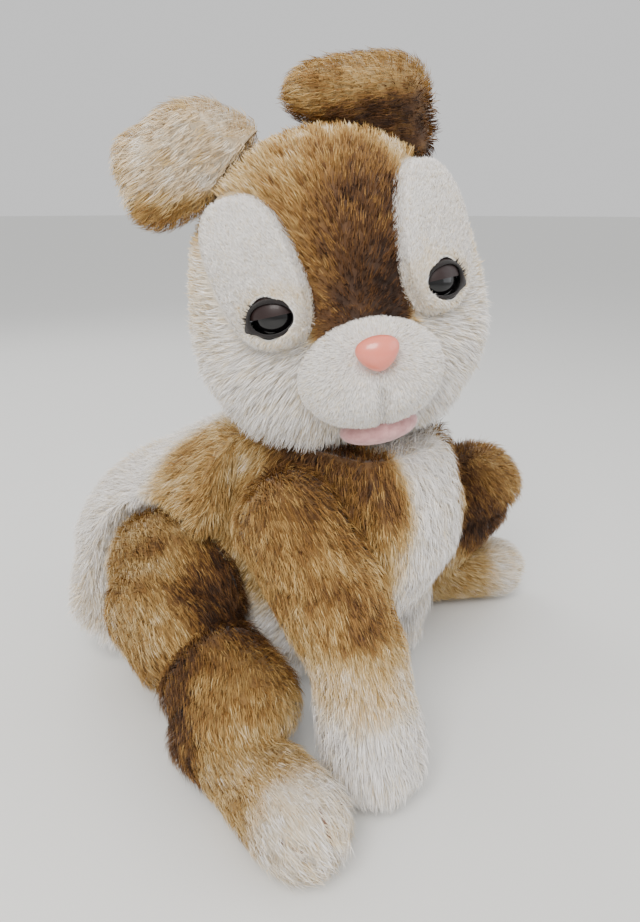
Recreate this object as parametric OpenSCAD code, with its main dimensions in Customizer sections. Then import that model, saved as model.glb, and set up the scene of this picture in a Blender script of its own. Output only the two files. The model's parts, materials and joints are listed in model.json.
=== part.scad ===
// Interactive plush rabbit, sitting, about 0.45 m tall. Millimetres, +Z up.
// The rabbit faces -Y and its right side is -X. The origin is the middle of the
// base plate's underside, where the rabbit rests on a surface.

/* [Torso] */
// Half width of the upper part of the rump
rump_rx = 108; // [98:1:112]
// Half length of the rump
rump_ry = 112; // [100:1:116]
// Half width of the rump where it sags onto the floor
sag_rx = 120; // [106:1:122]
// Half height of the rump
rump_rz = 92; // [86:1:94]
// Half width of the chest
chest_rx = 84; // [76:1:92]
// Half depth of the chest
chest_ry = 86; // [78:1:92]
// Half height of the chest
chest_rz = 96; // [90:1:100]
// Width of the chest between the front legs
chest_gap = 94.8; // [90:0.2:96]
// Radius of the flat that the rump sits on
seat_r = 74; // [70:1:80]
// Height of the neck joint above the floor
neck_z = 228; // [226:1:230]

/* [Head] */
// Half width of the head
head_rx = 102; // [96:1:106]
// Half depth of the head
head_ry = 90; // [86:1:94]
// Half height of the head
head_rz = 111; // [106:1:114]
// Height of the middle of the head
head_z = 318; // [314:1:322]
// Turn of the head towards the rabbit's right at rest, degrees
head_turn = 42.5; // [0:0.5:50]
// Tilt of the head towards the rabbit's right, degrees
head_tilt = 11; // [0:1:14]
// Radius of an eyeball
eye_r = 15.5; // [14:0.5:16]
// Distance of an eyeball's centre from the middle of the face
eye_x = 45; // [43:1:48]
// How far in front of the head's centre the eyeballs sit
eye_y = 70; // [68:1:71]
// Height of the lids' edge above the eye's middle at rest, degrees
lid_edge = 8; // [0:1:20]
// Height of the eyeballs above the head's centre
eye_z = 9; // [6:1:12]

/* [Legs] */
// Radius of the shoulder part of a front leg
shoulder_r = 42; // [38:1:43]
// Radius of a front paw
paw_r = 34; // [30:1:35]
// Radius of a front leg at the elbow
elbow_r = 35; // [32:1:35]
// Height of the shoulder joint
shoulder_z = 178; // [174:1:180]
// Radius of a haunch, measured in its side view
haunch_r = 72; // [66:1:74]
// Distance of the haunch's flat inner face from the middle plane
hip_x = 60; // [58:1:62]
// Radius of a hind leg at the bulge of its knee and shank
knee_r = 44; // [38:1:44]
// Radius of a hind foot
foot_r = 32; // [28:1:33]

/* [Mechanism] */
// Wall of the plastic mouldings
wall = 2.5; // [2:0.1:3]
// Diameter of the joint pins of the legs
pin_d = 8; // [6:0.5:9]
// Radial clearance of the turning fits
fit = 0.05; // [0.03:0.01:0.08]

/* [Hidden] */
$fn = 48;
soft_fn = 36;
gap = 0.5;
far = 400;

// Screws: shank, clearance hole and head
screw_d = 3;
screw_hole_d = 3.2;
screw_head_d = 6;

// Places of the big soft forms
rump_pos = [0, 34, 95];
sag_pos = [0, 40, 58];
sag_ry = 116;
sag_rz = 56;
tail_pos = [0, 162, 58];
tail_r = 24;
chest_pos = [0, -120, 176];
neck_y = -108;
shoulder_y = -122;
hip_y = -5;
hip_z = 88;
// In front of this the chest's sides are flat
chest_flat_y = -56;
// Height of the touch sensor in the back
back_z = 58;

// Plastic chassis, in its side view: y forwards is negative, z up
chassis_half = 34;
base_t = 3.5;
chassis_side = [
    [45, base_t], [45, 88], [30, 100], [-30, 112], [-78, 150], [-78, 206],
    [-138, 206], [-138, 140], [-45, 62], [-45, base_t]
];
chassis_screw_at = [[38, 30], [38, 82], [-38, 30], [-84, 199], [-132, 199]];

// Battery box for four AA cells side by side
cell_d = 14.2;
cell_len = 50;
cell_pitch = 14.6;
plate_w = 100;
plate_corner = 8;
box_x = 57;
box_y = 64;
box_top = 22.5;
cover_x = 52;
cover_y = 59;
cover_z = 0.6;
cover_t = 2.2;
switch_y = 38;
base_screw_x = 26;
base_screw_y = 38.4;
boss_d = 8;

// Eye patches: middle, half sizes and outward tilt
patch_x = 54;
patch_z = 34;
patch_half_x = 25;
patch_half_z = 45;
patch_tilt = 9;

// Soft parts of the face: middles and half sizes
muzzle_pos = [0, -84, -33];
muzzle_r = [46, 30, 34];
nose_pos = [0, -111, -16];
nose_r = [14, 8.5, 11];
mouth_pos = [0, -77, -68];
mouth_r = [27, 17, 12];

// Ears: where they turn on the head, and the root and blade angle of each
ear_at = [66, 8, 89];
ear_root_d = 27;
ear_blade = [12, 18, 34];
ear_blade_turn = [-58, -40];
// Middles and half sizes of the stuffed folds of each ear
right_ear = [
    [[-44, 4, 106], [22, 20, 13]], [[-68, 6, 122], [24, 24, 14]],
    [[-98, 8, 104], [22, 24, 22]], [[-100, 6, 84], [17, 20, 20]]
];
left_ear = [[[51, 14, 119], [37, 30, 24]], [[21, 16, 126], [30, 28, 20]]];
// Steps in which each ear travels, degrees
right_ear_travel = [-8, -2, 4, 10];
left_ear_travel = [0, 10, 20];

// Touch sensors: housing and button
sensor_d = 26;
button_d = 20;
button_tip_d = 15;
head_sensor_y = 4;
head_sensor_z = 77.2;
head_sensor_h = 9;

// Neck drive: motor, gearbox, and the post and cap the head turns on
motor_z = 158;
motor_d = 24;
motor_h = 20;
gearbox_d = 36;
gearbox_h = 24;
post_z = 203;
post_h = 47;
flange_z = 206.2;
flange_d = 40;
flange_t = 4;
cap_d = 45;
cap_h = 36;

skull_r = [70, 58, 76];
skull_y = 8;
cup_r = 20.5;
// How far behind the eye's middle the skull's cup starts
cup_back = 8;
lid_in = eye_r + 0.6;
lid_out = eye_r + 2.1;
socket_r = eye_r + 3;
axle_d = 3;
stalk_d = 14;
lid_span = 92;
post_d = 16;
shaft_d = 6;

// Half size of the leg discs and where their pins end
disc_t = 3;
shoulder_disc_r = 26;
hip_disc_r = 32;
pin_end = 21;

module ellipsoid(at, r, fn = soft_fn) {
    hull()
        translate(at)
            scale(r)
                sphere(r = 1, $fn = fn);
}

module soft_ball(at, r) {
    translate(at)
        sphere(r = r, $fn = 32);
}

module side_of(s, from) {
    // Everything further out than from, on the side s
    translate([s > 0 ? from : -from - far, -far / 2, -far / 2])
        cube([far, far, far * 2]);
}

module rod_x(x0, x1, d) {
    translate([min(x0, x1), 0, 0])
        rotate([0, 90, 0])
            cylinder(d = d, h = abs(x1 - x0));
}

module rod_y(y0, y1, d) {
    translate([0, max(y0, y1), 0])
        rotate([90, 0, 0])
            cylinder(d = d, h = abs(y1 - y0));
}

module head_place() {
    translate([0, neck_y, head_z])
        rotate([0, -head_tilt, -head_turn])
            children();
}

// ---- Torso -------------------------------------------------------------

module torso_form() {
    hull() {
        ellipsoid(rump_pos, [rump_rx, rump_ry, rump_rz]);
        ellipsoid(sag_pos, [sag_rx, sag_ry, sag_rz]);
        ellipsoid(chest_pos, [chest_rx, chest_ry, chest_rz]);
        translate([0, 0, 1])
            cylinder(r = seat_r, h = 1, $fn = soft_fn);
    }
}

module chassis_prism(grow, half) {
    rotate([90, 0, 90])
        translate([0, 0, -half])
            linear_extrude(2 * half)
                offset(delta = grow)
                    polygon(chassis_side);
}

module leg_pockets() {
    for (s = [-1, 1]) {
        // The front legs lie against the flat sides of the chest
        intersection() {
            side_of(s, chest_gap / 2);
            translate([-far, -far + chest_flat_y, -far])
                cube([2 * far, far, 2 * far]);
        }
        // The haunch turns in a round recess in the side of the rump
        translate([0, hip_y, hip_z])
            rod_x(s * (hip_x - 0.6), s * far, 2 * (haunch_r + 5));
        translate([0, hip_y, hip_z])
            rod_x(s * chassis_half, s * far, pin_d + 2);
        translate([0, shoulder_y, shoulder_z])
            rod_x(s * chassis_half, s * far, pin_d + 2);
    }
}

module torso_plush() {
    color([0.86, 0.8, 0.74])
        difference() {
            torso_form();
            translate([-far, -far, neck_z])
                cube(2 * far);
            leg_pockets();
            chassis_prism(gap, chassis_half + gap);
            translate([-plate_w / 2 - gap, -plate_w / 2 - gap, -1])
                cube([plate_w + 2 * gap, plate_w + 2 * gap, base_t + 1 + gap]);
            translate([0, 0, back_z])
                rod_y(40, 64, sensor_d + 2);
            translate([0, neck_y, 200])
                cylinder(d = cap_d + 1, h = 40);
            tail_ball(0.4);
        }
}

module tail_ball(grow) {
    soft_ball(tail_pos, tail_r + grow);
}

module tail() {
    color([0.9, 0.87, 0.83])
        tail_ball(0);
}

// ---- Base, batteries and switch -----------------------------------------

module plate(x, y, t, r) {
    for (sx = [-1, 1], sy = [-1, 1])
        translate([sx * (x / 2 - r), sy * (y / 2 - r), 0])
            cylinder(r = r, h = t);
    translate([-x / 2 + r, -y / 2, 0])
        cube([x - 2 * r, y, t]);
    translate([-x / 2, -y / 2 + r, 0])
        cube([x, y - 2 * r, t]);
}

module base_screw_places() {
    for (sx = [-1, 1], sy = [-1, 1])
        translate([sx * base_screw_x, sy * base_screw_y, 0])
            children();
}

module base_plate() {
    color([0.25, 0.25, 0.27])
        difference() {
            plate(plate_w, plate_w, base_t, plate_corner);
            translate([-cover_x / 2 - 0.4, -cover_y / 2 - 0.4, -1])
                cube([cover_x + 0.8, cover_y + 0.8, base_t + 2]);
            translate([0, -cover_y / 2, -1])
                cylinder(r = 5.4, h = base_t + 2);
            translate([-6, switch_y - 2.5, -1])
                cube([12, 5, base_t + 2]);
            base_screw_places() {
                translate([0, 0, -1])
                    cylinder(d = screw_hole_d, h = base_t + 2);
                translate([0, 0, -1])
                    cylinder(d = screw_head_d + 0.4, h = 3);
            }
        }
}

module base_screws() {
    color([0.7, 0.7, 0.72])
        base_screw_places() {
            cylinder(d = screw_d, h = 18);
            translate([0, 0, 0.2])
                difference() {
                    cylinder(d = screw_head_d, h = 1.6);
                    translate([-2, -0.4, -0.1])
                        cube([4, 0.8, 0.9]);
                }
        }
}

module battery_box() {
    color([0.2, 0.2, 0.22])
        difference() {
            translate([-box_x / 2, -box_y / 2, base_t])
                cube([box_x, box_y, box_top - base_t]);
            translate([-box_x / 2 + 1.5, -box_y / 2 + 1.5, base_t - 1])
                cube([box_x - 3, box_y - 3, box_top - base_t - 0.5]);
        }
}

module batteries() {
    color([0.75, 0.6, 0.25])
        for (i = [-1.5:1:1.5])
            translate([0, i * cell_pitch, base_t + 0.4 + cell_d / 2]) {
                rod_x(-cell_len / 2 + 0.5, cell_len / 2 - 1, cell_d);
                rod_x(cell_len / 2 - 1, cell_len / 2, 5.5);
            }
}

module battery_contacts() {
    color([0.8, 0.8, 0.82])
        for (s = [-1, 1], i = [-1.5:1:1.5])
            translate([s * 26 - 0.25, i * cell_pitch - 5, base_t + 3])
                cube([0.5, 10, 10]);
}

module battery_cover() {
    color([0.25, 0.25, 0.27])
        difference() {
            union() {
                translate([-cover_x / 2, -cover_y / 2, cover_z])
                    cube([cover_x, cover_y, cover_t]);
                translate([0, -cover_y / 2, cover_z])
                    cylinder(r = 5, h = cover_t);
            }
            translate([0, -cover_y / 2, 0])
                cylinder(d = screw_hole_d, h = 5);
            translate([0, -cover_y / 2, 0])
                cylinder(d = 5.4, h = 1.8);
            for (i = [-2:2])
                translate([-10, 18 + i * 2, cover_z - 0.1])
                    cube([20, 0.8, 0.7]);
        }
}

module battery_screw() {
    color([0.7, 0.7, 0.72])
        translate([0, -cover_y / 2, 0.7]) {
            cylinder(d = screw_d, h = 2.6);
            difference() {
                cylinder(d = 5, h = 1);
                translate([-2, -0.4, -0.1])
                    cube([4, 0.8, 0.6]);
            }
        }
}

module switch_housing() {
    color([0.15, 0.15, 0.16])
        difference() {
            translate([-10, switch_y - 3.9, base_t])
                cube([20, 7.8, 8]);
            translate([-6, switch_y - 2.5, base_t - 1])
                cube([12, 5, 6]);
        }
}

module power_slider() {
    color([0.85, 0.85, 0.85])
        difference() {
            translate([-5, switch_y - 2.1, 1])
                cube([5, 4.2, 6]);
            for (i = [0:2])
                translate([-4.2 + i * 1.4, switch_y - 3, 0.9])
                    cube([0.6, 6, 0.6]);
        }
}

// ---- Chassis --------------------------------------------------------------

module chassis_shell() {
    difference() {
        chassis_prism(0, chassis_half);
        chassis_prism(-wall, chassis_half - wall);
        translate([-chassis_half + wall, -45 + wall, 0])
            cube([2 * (chassis_half - wall), 90 - 2 * wall, 10]);
    }
    for (p = chassis_screw_at)
        translate([0, p[0], p[1]])
            rod_x(-chassis_half + 0.1, chassis_half - 0.1, boss_d);
    base_screw_places()
        translate([0, 0, base_t])
            cylinder(d = boss_d, h = 18);
    for (s = [-1, 1]) {
        translate([0, hip_y, hip_z])
            rod_x(s * 25, s * (chassis_half - 0.1), pin_d + 8);
        translate([0, shoulder_y, shoulder_z])
            rod_x(s * 25, s * (chassis_half - 0.1), pin_d + 8);
    }
}

module chassis_holes() {
    for (p = chassis_screw_at)
        translate([0, p[0], p[1]]) {
            rod_x(-far, chassis_half - 3, screw_hole_d);
            rod_x(-far, -chassis_half + 2.6, screw_head_d + 0.4);
        }
    translate([0, hip_y, hip_z])
        rod_x(-far, far, pin_d + 2 * fit);
    translate([0, shoulder_y, shoulder_z])
        rod_x(-far, far, pin_d + 2 * fit);
    base_screw_places()
        cylinder(d = screw_hole_d, h = 20);
    translate([0, neck_y, 200])
        cylinder(d = post_d + 0.2, h = 20);
    translate([0, 0, back_z])
        rod_y(40, 50, 12);
}

module chassis_half_shell(s) {
    color([0.6, 0.62, 0.65])
        difference() {
            chassis_shell();
            chassis_holes();
            side_of(-s, -0.05);
        }
}

module chassis_left() {
    chassis_half_shell(1);
}

module chassis_right() {
    chassis_half_shell(-1);
}

module chassis_screws() {
    color([0.7, 0.7, 0.72])
        for (p = chassis_screw_at)
            translate([0, p[0], p[1]]) {
                rod_x(-chassis_half + 2, chassis_half - 6, screw_d);
                rod_x(-chassis_half + 0.4, -chassis_half + 2.4, screw_head_d);
            }
}

module circuit_board() {
    color([0.1, 0.4, 0.2])
        translate([-27, 24, 40])
            cube([54, 1.6, 34]);
}

module board_parts() {
    color([0.1, 0.1, 0.1]) {
        translate([-8, 21.5, 52])
            cube([16, 2.5, 16]);
        translate([14, 20, 46])
            cube([8, 4, 12]);
        for (i = [0:2])
            translate([-20, 24, 46 + i * 8])
                rod_y(0, -7, 5);
    }
}

module speaker() {
    color([0.2, 0.2, 0.2])
        translate([0, -24, 58])
            difference() {
                union() {
                    rod_y(-16, -12, 42);
                    rod_y(-12, -4, 30);
                    rod_y(-4, 4, 22);
                }
                rod_y(-17, -14, 36);
            }
}

module neck_motor() {
    color([0.55, 0.55, 0.58])
        translate([0, neck_y, motor_z])
            difference() {
                union() {
                    cylinder(d = motor_d, h = motor_h);
                    translate([0, 0, motor_h])
                        cylinder(d = gearbox_d, h = gearbox_h);
                }
                cylinder(d = shaft_d + 2 * fit, h = 60);
            }
}

module neck_post() {
    color([0.85, 0.85, 0.8])
        translate([0, neck_y, 0])
            difference() {
                union() {
                    translate([0, 0, post_z])
                        cylinder(d = post_d, h = post_h);
                    translate([0, 0, flange_z])
                        cylinder(d = flange_d, h = flange_t);
                }
                translate([0, 0, 200])
                    cylinder(d = shaft_d + 2 * fit, h = 60);
            }
}

module back_sensor_housing() {
    color([0.3, 0.3, 0.32])
        translate([0, 0, back_z])
            difference() {
                rod_y(45.2, 54, sensor_d);
                rod_y(47.2, 56, button_d + 0.2);
                rod_y(44, 50, 6);
            }
}

module back_button() {
    color([0.8, 0.3, 0.3])
        translate([0, 0, back_z]) {
            rod_y(50.5, 56.5, button_d);
            rod_y(56.5, 58, button_tip_d);
        }
}

// ---- Head -----------------------------------------------------------------

module head_form(grow = 0) {
    ellipsoid([0, 0, 0], [head_rx + grow, head_ry + grow, head_rz + grow], 40);
}

module eye_places() {
    for (s = [-1, 1])
        translate([s * eye_x, -eye_y, eye_z])
            children();
}

module eye_openings() {
    eye_places() {
        sphere(r = socket_r);
        rod_y(0, -40, 2 * socket_r);
    }
}

module above_neck() {
    // Everything above the neck joint, in the upright frame
    translate([-far, -far, neck_z + gap])
        cube(2 * far);
}

module skull_room() {
    ellipsoid([0, skull_y, 0], skull_r + [1, 1, 1], 32);
    eye_places()
        rod_y(0, 45, 2 * cup_r + 1);
    translate([0, head_sensor_y, 70])
        cylinder(d = sensor_d + 1, h = 26);
}

module neck_room() {
    translate([0, neck_y, neck_z - 1])
        cylinder(d = cap_d + 2, h = 60);
}

module ear_axis(s) {
    translate([s * ear_at[0], ear_at[1], ear_at[2]])
        children();
}

module ear_root_room(s) {
    ear_axis(s)
        rod_y(17, -17, ear_root_d + 2);
}

module head_plush() {
    color([0.75, 0.62, 0.42])
        difference() {
            intersection() {
                head_place()
                    head_form();
                above_neck();
            }
            head_place() {
                skull_room();
                eye_openings();
                ear_root_room(-1);
                ear_root_room(1);
                translate([0, -eye_y, eye_z])
                    rod_x(-eye_x, eye_x, axle_d + 1);
            }
            neck_room();
        }
}

module muzzle_form(grow = 0) {
    ellipsoid(muzzle_pos, muzzle_r + [grow, grow, grow]);
}

module muzzle_plush() {
    color([0.9, 0.87, 0.84])
        head_place()
            difference() {
                muzzle_form();
                head_form(0.2);
                eye_openings();
            }
}

module nose() {
    color([0.92, 0.6, 0.52])
        head_place()
            difference() {
                ellipsoid(nose_pos, nose_r, 32);
                muzzle_form(0.2);
            }
}

module mouth_felt() {
    color([0.8, 0.5, 0.5])
        head_place()
            difference() {
                ellipsoid(mouth_pos, mouth_r, 32);
                head_form(0.2);
                muzzle_form(0.2);
            }
}

module eye_patch(s) {
    color([0.93, 0.91, 0.88])
        head_place()
            difference() {
                intersection() {
                    head_form(3);
                    translate([s * patch_x, -60, patch_z])
                        rotate([90, s * patch_tilt, 0])
                            scale([1, patch_half_z / patch_half_x, 1])
                                cylinder(r = patch_half_x, h = 60, $fn = 40);
                }
                head_form(0.2);
                eye_openings();
                muzzle_form(0.3);
            }
}

module eye_patch_right() {
    eye_patch(-1);
}

module eye_patch_left() {
    eye_patch(1);
}

module skull_screw_places() {
    for (p = [[-50, 30], [50, 30], [-46, -34], [46, -34]])
        translate([p[0], 0, p[1]])
            children();
}

module skull_form() {
    difference() {
        union() {
            difference() {
                ellipsoid([0, skull_y, 0], skull_r, 32);
                ellipsoid([0, skull_y, 0], skull_r - [wall, wall, wall], 32);
            }
            intersection() {
                skull_screw_places()
                    rod_y(-20, 40, 9);
                ellipsoid([0, skull_y, 0], skull_r - [1, 1, 1], 32);
            }
            difference() {
                eye_places()
                    rod_y(cup_back, 44, 2 * cup_r);
                ellipsoid([0, skull_y, 0], skull_r - [wall, wall, wall], 32);
            }
        }
        eye_places() {
            sphere(r = socket_r);
            rod_y(0, 60, stalk_d + 0.4);
        }
        translate([0, -eye_y, eye_z])
            rod_x(-eye_x, eye_x, 8);
        skull_screw_places()
            rod_y(-10, 80, screw_hole_d);
    }
}

module skull_half(front) {
    color([0.85, 0.85, 0.82])
        difference() {
            head_place()
                difference() {
                    skull_form();
                    translate([-far, front ? skull_y - 0.05 : skull_y - 2 * far + 0.05, -far])
                        cube(2 * far);
                }
            neck_room();
        }
}

module skull_front() {
    skull_half(true);
}

module skull_back() {
    skull_half(false);
}

module skull_screws() {
    color([0.7, 0.7, 0.72])
        head_place()
            intersection() {
                skull_screw_places()
                    rod_y(-4, 50, screw_d);
                ellipsoid([0, skull_y, 0], skull_r - [0.3, 0.3, 0.3], 32);
            }
}

module around_axle(inner, outer, from = 0, to = 360) {
    // A ball or shell turned about the lid axle. Angles are counted from the
    // front of the eye upwards.
    rotate([270 - to, 0, 0])
        rotate([0, 90, 0])
            rotate_extrude(angle = to - from)
                difference() {
                    circle(r = outer);
                    if (inner > 0)
                        circle(r = inner);
                    translate([-outer - 1, -outer - 1])
                        square([outer + 1 + axle_d / 2 + fit, 2 * outer + 2]);
                }
}

module eyeball(s) {
    color([0.06, 0.05, 0.05])
        head_place()
            translate([s * eye_x, -eye_y, eye_z]) {
                around_axle(0, eye_r);
                difference() {
                    rod_y(8, 26, stalk_d);
                    rotate([0, 90, 0])
                        cylinder(r = eye_r - 0.5, h = 60, center = true);
                }
            }
}

module eyeball_right() {
    eyeball(-1);
}

module eyeball_left() {
    eyeball(1);
}

module lid(s) {
    // The lid covers the upper front of the eyeball and turns about the axle
    color([0.2, 0.14, 0.12])
        head_place()
            translate([s * eye_x, -eye_y, eye_z])
                around_axle(lid_in, lid_out, lid_edge, lid_edge + lid_span);
}

module eyelid_right() {
    lid(-1);
}

module eyelid_left() {
    lid(1);
}

module lid_axle() {
    color([0.75, 0.75, 0.77])
        head_place()
            translate([0, -eye_y, eye_z])
                rod_x(-eye_x - lid_out + 0.3, eye_x + lid_out - 0.3, axle_d);
}

module neck_socket() {
    color([0.3, 0.3, 0.32])
        translate([0, neck_y, 0])
            difference() {
                translate([0, 0, neck_z + 1])
                    cylinder(d = cap_d, h = cap_h);
                translate([0, 0, neck_z])
                    cylinder(d = post_d + 2 * fit, h = 24);
                translate([0, 0, neck_z])
                    cylinder(d = shaft_d, h = 40);
            }
}

module neck_shaft() {
    color([0.75, 0.75, 0.77])
        translate([0, neck_y, motor_z + 4])
            cylinder(d = shaft_d, h = neck_z + 30 - motor_z);
}

module head_sensor_housing() {
    color([0.3, 0.3, 0.32])
        head_place()
            translate([0, head_sensor_y, head_sensor_z])
                difference() {
                    cylinder(d = sensor_d, h = head_sensor_h);
                    translate([0, 0, 2])
                        cylinder(d = button_d + 0.2, h = 10);
                }
}

module head_button() {
    color([0.8, 0.3, 0.3])
        head_place()
            translate([0, head_sensor_y, 82.5]) {
                cylinder(d = button_d, h = 6);
                translate([0, 0, 6])
                    cylinder(d = button_tip_d, h = 1.5);
            }
}

module blink_motor() {
    color([0.5, 0.5, 0.52])
        head_place()
            translate([-14, -36, -2]) {
                cube([28, 26, 20]);
                translate([14, 0, 10])
                    rod_y(0, -8, 6);
            }
}

// ---- Ears -----------------------------------------------------------------

module ear_blade_room(s, grow) {
    rotate([0, s > 0 ? ear_blade_turn[1] : ear_blade_turn[0], 0])
        translate([-ear_blade[0] / 2 - grow, -ear_blade[1] / 2 - grow, 0])
            cube(ear_blade + [2 * grow, 2 * grow, grow]);
}

module ear_hinge(s) {
    color([0.85, 0.85, 0.82])
        head_place() {
            ear_axis(s) {
                rod_y(13, -13, 6);
                ear_blade_room(s, 0);
            }
        }
}

module ear_shape(s) {
    hull() {
        ear_axis(s)
            rod_y(16, -16, ear_root_d);
        for (fold = s < 0 ? right_ear : left_ear)
            ellipsoid(fold[0], fold[1], 32);
    }
}

module ear_plush(s) {
    color([0.78, 0.68, 0.5])
        head_place()
            difference() {
                ear_shape(s);
                // Room for the head all along the ear's travel
                for (lift = s < 0 ? right_ear_travel : left_ear_travel)
                    difference() {
                        ear_axis(s)
                            rotate([0, -lift, 0])
                                translate([-s * ear_at[0], -ear_at[1], -ear_at[2]])
                                    head_form(0.8);
                        ear_axis(s)
                            rod_y(16, -16, ear_root_d + 0.2);
                    }
                ear_axis(s) {
                    rod_y(13.2, -13.2, 6.4);
                    ear_blade_room(s, 0.3);
                    // Open towards the head, where the hinge goes in
                    translate([-3.2, -6, -ear_root_d])
                        cube([6.4, 12, ear_root_d]);
                }
            }
}

module ear_right_plush() {
    ear_plush(-1);
}

module ear_left_plush() {
    ear_plush(1);
}

module ear_right_hinge() {
    ear_hinge(-1);
}

module ear_left_hinge() {
    ear_hinge(1);
}

// ---- Legs -----------------------------------------------------------------

module leg_joint(s, y, z, face, r) {
    // A disc inside the leg, its pin and the clip on the pin's end
    color([0.85, 0.85, 0.82])
        translate([0, y, z]) {
            rod_x(s * (face + 1.5), s * (face + 1.5 + disc_t), 2 * r);
            rod_x(s * (face + 1.6), s * pin_end, pin_d);
            rod_x(s * (pin_end + 0.5), s * (pin_end + 2.5), pin_d + 5);
        }
}

module leg_joint_room(s, y, z, face, r) {
    translate([0, y, z]) {
        rod_x(s * (face + 1.3), s * (face + 1.7 + disc_t), 2 * r + 0.6);
        rod_x(s * (face + 2), s * (face - 2), pin_d + 1);
    }
}

// Middles and radii of a front leg's shoulder, upper arm, elbow and paw. The
// right leg reaches forward and the left one stands straight.
function front_leg_points(s) = [
    [s * 64, shoulder_y, shoulder_z],
    [s * 65, s < 0 ? -155 : -124, 142],
    [s * 68, s < 0 ? -180 : -122, 100],
    [s * 70, s < 0 ? -196 : -115, paw_r]
];
front_leg_radii = [shoulder_r, shoulder_r, elbow_r, paw_r];

module chain(points, radii) {
    // Balls joined one after the other
    for (i = [0:len(points) - 2])
        hull() {
            soft_ball(points[i], radii[i]);
            soft_ball(points[i + 1], radii[i + 1]);
        }
}

module front_leg(s) {
    face = chest_gap / 2 + 0.6;
    color([0.7, 0.52, 0.3])
        difference() {
            chain(front_leg_points(s), front_leg_radii);
            side_of(-s, -face);
            leg_joint_room(s, shoulder_y, shoulder_z, face, shoulder_disc_r);
        }
}

module front_leg_right_plush() {
    front_leg(-1);
}

module front_leg_left_plush() {
    front_leg(1);
}

module front_leg_right_joint() {
    leg_joint(-1, shoulder_y, shoulder_z, chest_gap / 2 + 0.6, shoulder_disc_r);
}

module front_leg_left_joint() {
    leg_joint(1, shoulder_y, shoulder_z, chest_gap / 2 + 0.6, shoulder_disc_r);
}

// Middles of a hind leg's thigh, knee, heel and toes
function hind_leg_points(s) = s < 0 ?
    [[-92, hip_y - 12, hip_z], [-108, -110, 54], [-122, -94, foot_r], [-142, -195, foot_r]] :
    [[92, hip_y - 12, hip_z], [190, -134, 128], [162, -84, foot_r], [222, -146, foot_r]];
hind_leg_radii = [46, knee_r, foot_r, foot_r];

module haunch(s) {
    ellipsoid([s * 70, hip_y, hip_z], [44, haunch_r, haunch_r], 32);
}

module hind_leg(s) {
    color([0.68, 0.5, 0.3])
        difference() {
            union() {
                haunch(s);
                chain(hind_leg_points(s), hind_leg_radii);
            }
            side_of(-s, -hip_x);
            leg_joint_room(s, hip_y, hip_z, hip_x, hip_disc_r);
        }
}

module hind_leg_right_plush() {
    hind_leg(-1);
}

module hind_leg_left_plush() {
    hind_leg(1);
}

module hind_leg_right_joint() {
    leg_joint(-1, hip_y, hip_z, hip_x, hip_disc_r);
}

module hind_leg_left_joint() {
    leg_joint(1, hip_y, hip_z, hip_x, hip_disc_r);
}

torso_plush();
tail();
base_plate();
base_screws();
battery_box();
batteries();
battery_contacts();
chassis_left();
chassis_right();
chassis_screws();
circuit_board();
board_parts();
speaker();
switch_housing();
neck_motor();
neck_post();
back_sensor_housing();
battery_cover();
battery_screw();
power_slider();
back_button();
head_plush();
muzzle_plush();
nose();
mouth_felt();
eye_patch_right();
eye_patch_left();
skull_front();
skull_back();
skull_screws();
eyeball_right();
eyeball_left();
neck_socket();
neck_shaft();
head_sensor_housing();
blink_motor();
head_button();
eyelid_right();
eyelid_left();
lid_axle();
ear_right_plush();
ear_right_hinge();
ear_left_plush();
ear_left_hinge();
front_leg_right_plush();
front_leg_right_joint();
front_leg_left_plush();
front_leg_left_joint();
hind_leg_right_plush();
hind_leg_right_joint();
hind_leg_left_plush();
hind_leg_left_joint();
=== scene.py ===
"""A sitting plush rabbit: sewn skins, fur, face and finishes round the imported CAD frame. Metres."""
import json
from math import cos, pi, radians, sin, sqrt

import bmesh
import bpy
import numpy as np
from mathutils import Matrix, Vector

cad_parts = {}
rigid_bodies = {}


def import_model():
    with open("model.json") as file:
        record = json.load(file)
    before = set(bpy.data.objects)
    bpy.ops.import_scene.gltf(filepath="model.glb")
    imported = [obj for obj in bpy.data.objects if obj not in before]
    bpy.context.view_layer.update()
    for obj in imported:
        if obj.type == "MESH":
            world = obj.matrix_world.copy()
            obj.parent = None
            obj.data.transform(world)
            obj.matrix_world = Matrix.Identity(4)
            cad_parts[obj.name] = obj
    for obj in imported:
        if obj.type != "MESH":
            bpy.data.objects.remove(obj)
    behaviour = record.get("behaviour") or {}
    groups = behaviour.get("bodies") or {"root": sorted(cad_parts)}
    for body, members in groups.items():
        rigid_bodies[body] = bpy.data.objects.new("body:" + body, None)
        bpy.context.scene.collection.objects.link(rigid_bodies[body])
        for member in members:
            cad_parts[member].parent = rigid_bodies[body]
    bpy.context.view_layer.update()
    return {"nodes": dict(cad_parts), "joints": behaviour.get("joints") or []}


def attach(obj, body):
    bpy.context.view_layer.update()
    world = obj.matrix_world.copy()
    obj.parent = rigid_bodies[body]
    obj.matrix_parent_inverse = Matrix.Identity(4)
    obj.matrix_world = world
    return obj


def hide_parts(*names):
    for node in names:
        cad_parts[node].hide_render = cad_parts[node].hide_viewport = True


for old in list(bpy.data.objects):
    bpy.data.objects.remove(old)
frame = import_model()
MM = 0.001
SEED = 7

# Fur: strand width, clump size and how much a strand leans into its clump
STRAND_W = 0.5 * MM
CLUMP = 6 * MM
CLUMP_PULL = 0.42
DENSITY = 1.0


# ---- Frame ----------------------------------------------------------------

def joint(name):
    return next(j for j in frame["joints"] if j["name"] == name)


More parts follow.
